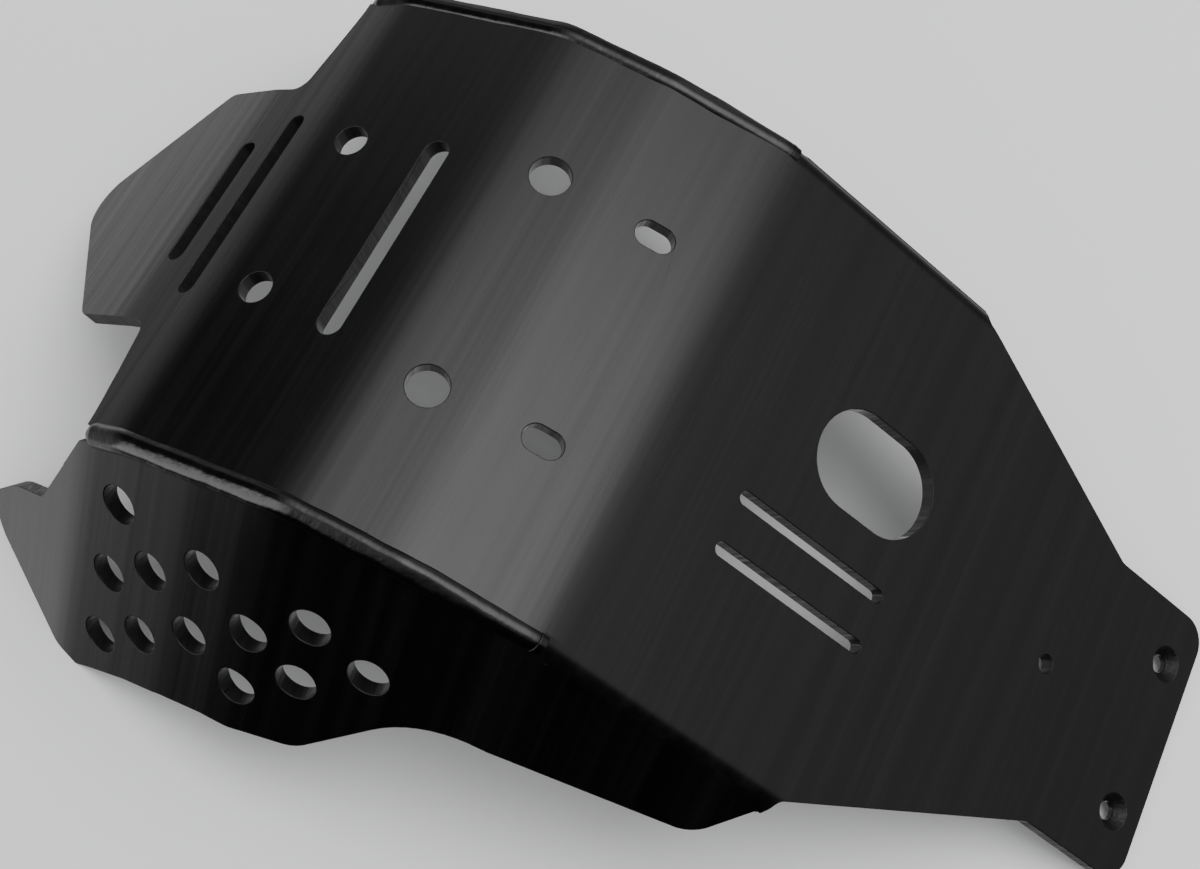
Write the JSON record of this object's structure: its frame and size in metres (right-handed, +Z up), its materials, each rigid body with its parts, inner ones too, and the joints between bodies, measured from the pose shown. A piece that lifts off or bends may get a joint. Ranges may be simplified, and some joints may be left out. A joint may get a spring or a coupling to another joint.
{
  "type": "motorcycle skid plate",
  "caption": "Black anodised aluminium motorcycle skid plate: a flat belly that curls up to a pointed nose in steps, with flared, perforated side wings folded and welded to it.",
  "frame": {"origin": "middle of the flat belly, on its ground face and on the centreline", "axes": "+X to the front of the bike, +Y to its left, +Z up, away from the ground"},
  "size_m": [0.4248, 0.3198, 0.2118],
  "materials": {
    "anodised_sheet": "black anodised, satin",
    "weld_bead": "black anodised weld, smooth"
  },
  "bodies": {
    "root": {"plate": "anodised_sheet", "left_weld_bead": "weld_bead", "right_weld_bead": "weld_bead"}
  },
  "joints": []
}
